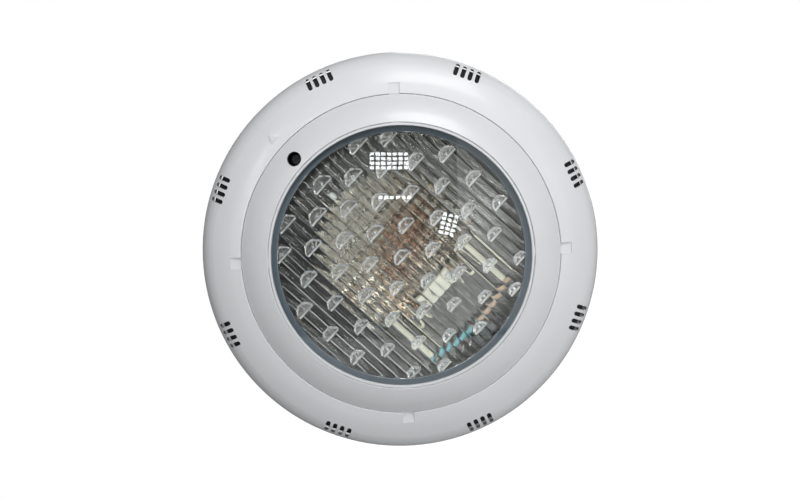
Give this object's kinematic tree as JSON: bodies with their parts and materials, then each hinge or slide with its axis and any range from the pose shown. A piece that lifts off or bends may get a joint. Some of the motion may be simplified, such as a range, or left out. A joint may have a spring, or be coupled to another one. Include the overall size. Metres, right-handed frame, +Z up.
{
  "type": "underwater pool light",
  "caption": "Round surface-mounted underwater pool light: white domed bezel and vented trim ring around a ribbed clear lens, with a capsule lamp on a bright reflector.",
  "frame": {"origin": "centre of the wall bracket's back face, in the middle of its four wall screw holes", "axes": "+Z up, the pool wall towards +Y, the lens looks along -Y, +X to the right when facing the lens"},
  "size_m": [0.27, 0.044, 0.27],
  "materials": {
    "white_shell": "satin",
    "dark_shell": "satin",
    "white_bracket": "matt",
    "lens_clear": "clear",
    "gasket_silicone": "matt",
    "lamp_glass": "clear",
    "chrome_reflector": "polished",
    "steatite": "matt",
    "stainless": "brushed",
    "brass": "machined",
    "tungsten": "matt",
    "glass_sleeve": "woven",
    "wire_blue": "satin",
    "wire_brown": "satin",
    "gland_grey": "satin",
    "gland_rubber": "matt"
  },
  "bodies": {
    "wall_mount": {"wall_bracket": "white_bracket", "threaded_insert": "brass"},
    "light_unit": {"housing": "dark_shell", "reflector": "chrome_reflector", "reflector_screws": "stainless", "lampholder_bracket": "stainless", "bracket_screws": "stainless", "lampholder": "steatite", "lampholder_screws": "stainless", "left_lead": "glass_sleeve", "right_lead": "glass_sleeve", "left_sleeve": "glass_sleeve", "right_sleeve": "glass_sleeve", "blue_wire": "wire_blue", "brown_wire": "wire_brown", "gland_body": "gland_grey", "gland_washer": "gland_rubber", "gland_locknut": "gland_grey", "gland_seal": "gland_rubber", "gland_nut": "gland_grey"},
    "front_frame": {"bezel": "white_shell", "bezel_screws": "stainless", "lens": "lens_clear", "lens_ring": "white_shell", "lens_gasket": "gasket_silicone"},
    "trim": {"trim_ring": "white_shell"},
    "top_screw": {"retaining_screw": "stainless", "screw_washer": "stainless"},
    "lamp": {"lamp_capsule": "lamp_glass", "lamp_pins": "stainless", "lamp_filament": "tungsten"}
  },
  "joints": [
    {"name": "unit_off_bracket", "type": "slide", "parent": "wall_mount", "child": "light_unit", "axis": [0, -1, 0], "range_m": [0, 0.07]},
    {"name": "front_off_housing", "type": "slide", "parent": "light_unit", "child": "front_frame", "axis": [0, -1, 0], "range_m": [0, 0.06]},
    {"name": "trim_off_bezel", "type": "slide", "parent": "front_frame", "child": "trim", "axis": [0, -1, 0], "range_m": [0, 0.035]},
    {"name": "screw_out", "type": "slide", "parent": "light_unit", "child": "top_screw", "axis": [0, -1, 0], "range_m": [0, 0.01]},
    {"name": "lamp_out", "type": "slide", "parent": "light_unit", "child": "lamp", "axis": [0, 0, 1], "range_m": [0, 0.009]}
  ]
}
